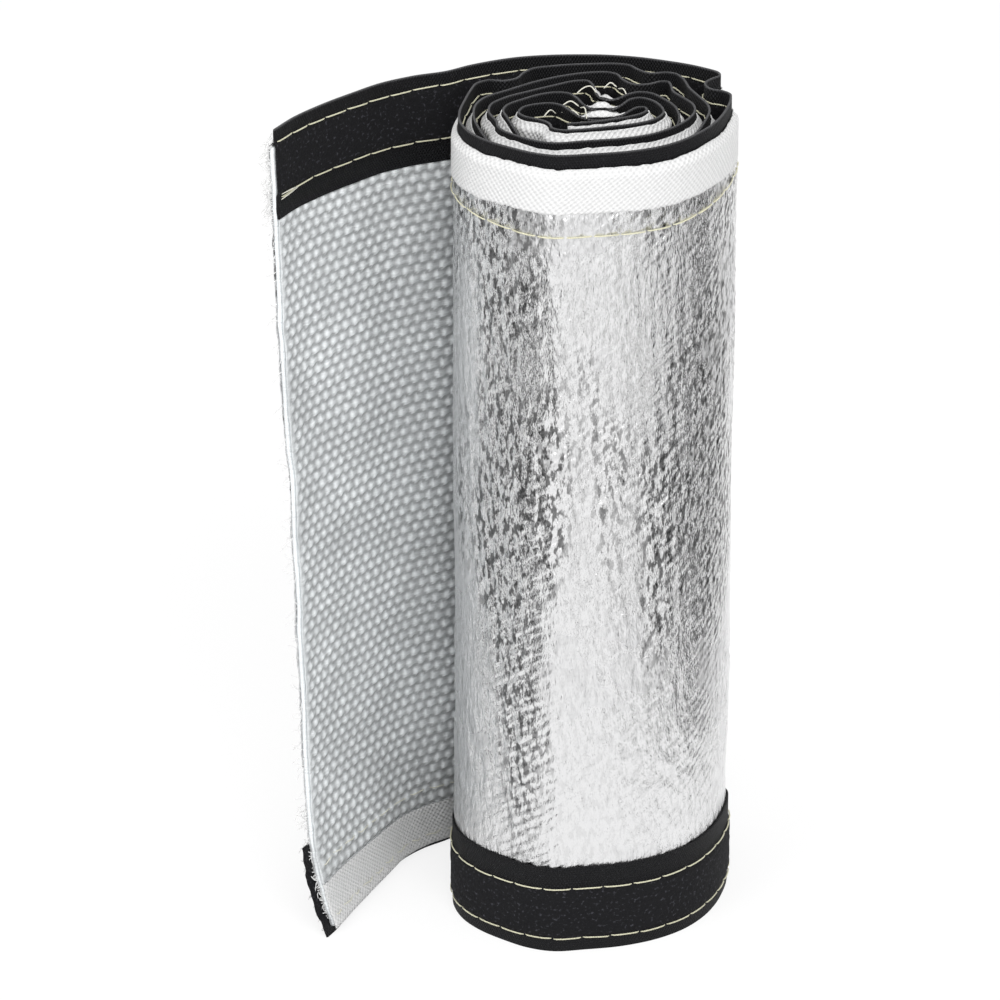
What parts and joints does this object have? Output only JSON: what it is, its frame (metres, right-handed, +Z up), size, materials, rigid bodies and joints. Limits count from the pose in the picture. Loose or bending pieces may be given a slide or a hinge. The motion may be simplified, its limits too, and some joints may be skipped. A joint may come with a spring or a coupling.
{
  "type": "aluminized heat sleeve",
  "caption": "Rolled wrap-round heat sleeve: foil-faced glass cloth strip with sewn black closure tapes and white edge ribbons.",
  "frame": {"origin": "middle of the roll's and flap's footprint, on the surface it stands on", "axes": "+Z up along the roll and across the strip's width, -Y towards the front, -X towards the free flap"},
  "size_m": [0.0982, 0.0642, 0.183],
  "materials": {
    "glass_cloth": "woven white glass cloth",
    "foil": "crinkled bright foil bonded to the cloth",
    "black_tape": "black nylon pile tape with ribbed selvages",
    "white_ribbon": "white woven edge ribbon",
    "thread": "pale yellow heat-resistant sewing thread"
  },
  "bodies": {
    "root": {"glass_cloth": "glass_cloth", "foil_face": "foil", "loop_tape": "black_tape", "hook_tape": "black_tape", "top_ribbon": "white_ribbon", "bottom_ribbon": "white_ribbon", "thread_loop_upper": "thread", "thread_loop_lower": "thread", "thread_foil": "thread", "thread_hook_upper": "thread", "thread_hook_lower": "thread"}
  },
  "joints": []
}
